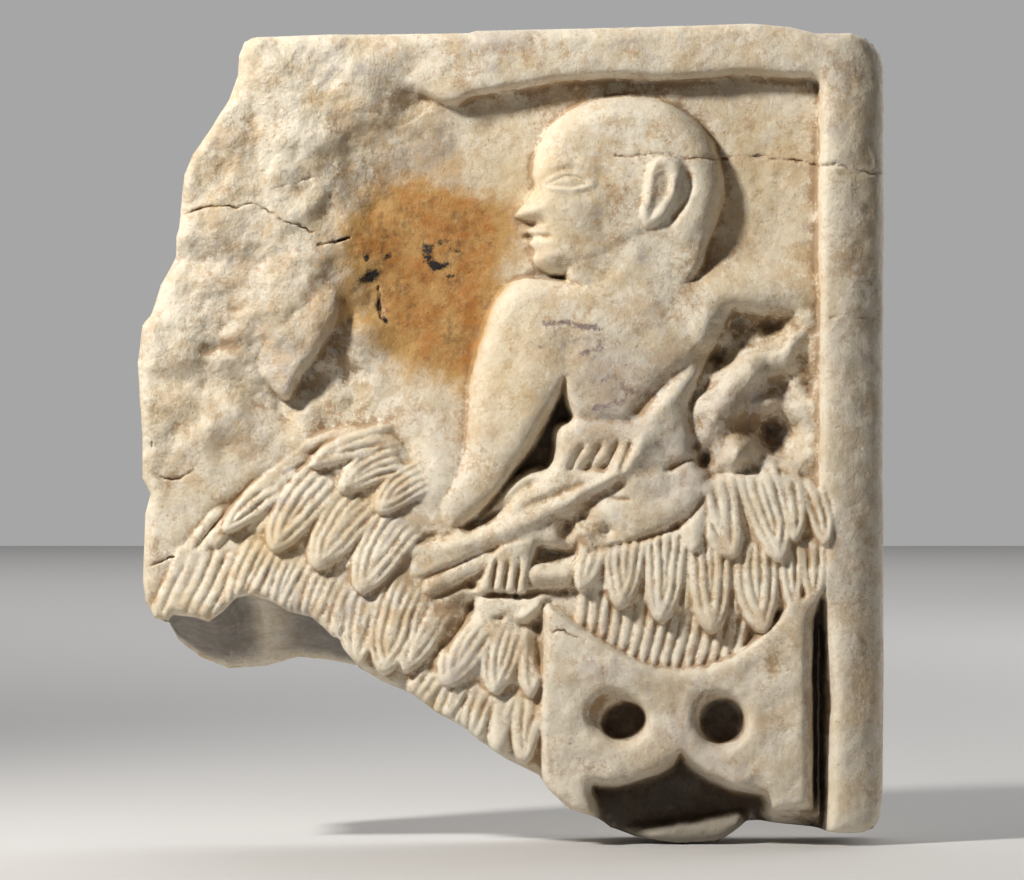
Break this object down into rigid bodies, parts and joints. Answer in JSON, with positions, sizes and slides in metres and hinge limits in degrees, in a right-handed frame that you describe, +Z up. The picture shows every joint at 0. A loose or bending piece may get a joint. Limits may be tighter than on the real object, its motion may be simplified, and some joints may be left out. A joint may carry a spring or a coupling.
{
  "type": "carved stone wall plaque",
  "caption": "Broken marble wall plaque carved in low relief with a seated man in a fleece skirt on a stool, inside a raised border, with a flat back.",
  "frame": {"origin": "middle of the flat back, at the face that rests against the wall", "axes": "+Y out of the flat back into the wall, +Z up along the tall side, the carved face looks to -Y"},
  "size_m": [0.1881, 0.0426, 0.206],
  "materials": {
    "marble": "weathered cream marble, matt, with ochre dirt in the carving"
  },
  "bodies": {
    "root": {"carved_marble_plaque": "marble"}
  },
  "joints": []
}
